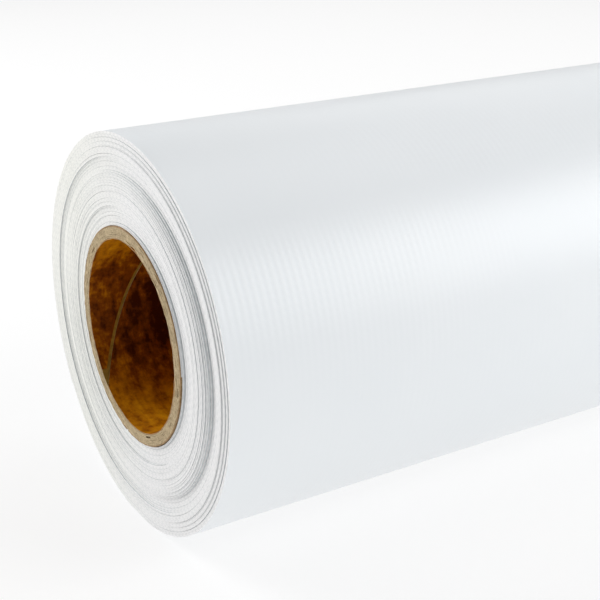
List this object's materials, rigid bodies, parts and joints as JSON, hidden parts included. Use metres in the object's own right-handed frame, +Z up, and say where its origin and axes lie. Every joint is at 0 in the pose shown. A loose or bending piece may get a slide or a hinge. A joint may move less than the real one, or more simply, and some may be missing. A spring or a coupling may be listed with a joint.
{
  "type": "roll of sign vinyl",
  "caption": "White scrim-reinforced sign vinyl wound on a spiral paper core, lying on its side, with a loose outer end that lifts.",
  "frame": {"origin": "under the middle of the roll, on the surface it rests on", "axes": "+X along the core's axis from the end seen first to the other end, +Y towards the side where the web's loose end lies, +Z up"},
  "size_m": [0.6122, 0.1578, 0.157],
  "materials": {
    "web": "satin",
    "bore_kraft": "satin",
    "chipboard": "matte",
    "outer_kraft": "matte",
    "tape": "satin"
  },
  "bodies": {
    "roll": {"core_inner_liner": "bore_kraft", "core_board_ply_1": "chipboard", "core_board_ply_2": "chipboard", "core_board_ply_3": "chipboard", "core_board_ply_4": "chipboard", "core_board_ply_5": "chipboard", "core_board_ply_6": "chipboard", "core_outer_ply": "outer_kraft", "start_tape": "tape", "web_roll": "web"},
    "tail_1": {"web_tail_1": "web"},
    "tail_2": {"web_tail_2": "web"},
    "tail_3": {"web_tail_3": "web"}
  },
  "joints": [
    {"name": "tail_lift", "type": "hinge", "parent": "roll", "child": "tail_1", "pos_m": [0, 0.06842, 0.11761], "axis": [1, 0, 0], "range_deg": [0, 50]},
    {"name": "tail_bend_upper", "type": "hinge", "parent": "tail_1", "child": "tail_2", "pos_m": [0, 0.07819, 0.08957], "axis": [1, 0, 0], "range_deg": [0, 20]},
    {"name": "tail_bend_lower", "type": "hinge", "parent": "tail_2", "child": "tail_3", "pos_m": [0, 0.07691, 0.05988], "axis": [1, 0, 0], "range_deg": [0, 20]}
  ],
  "couplings": [
    {"joint": "tail_bend_upper", "follows": "tail_lift", "ratio": 0.4},
    {"joint": "tail_bend_lower", "follows": "tail_lift", "ratio": 0.4}
  ]
}
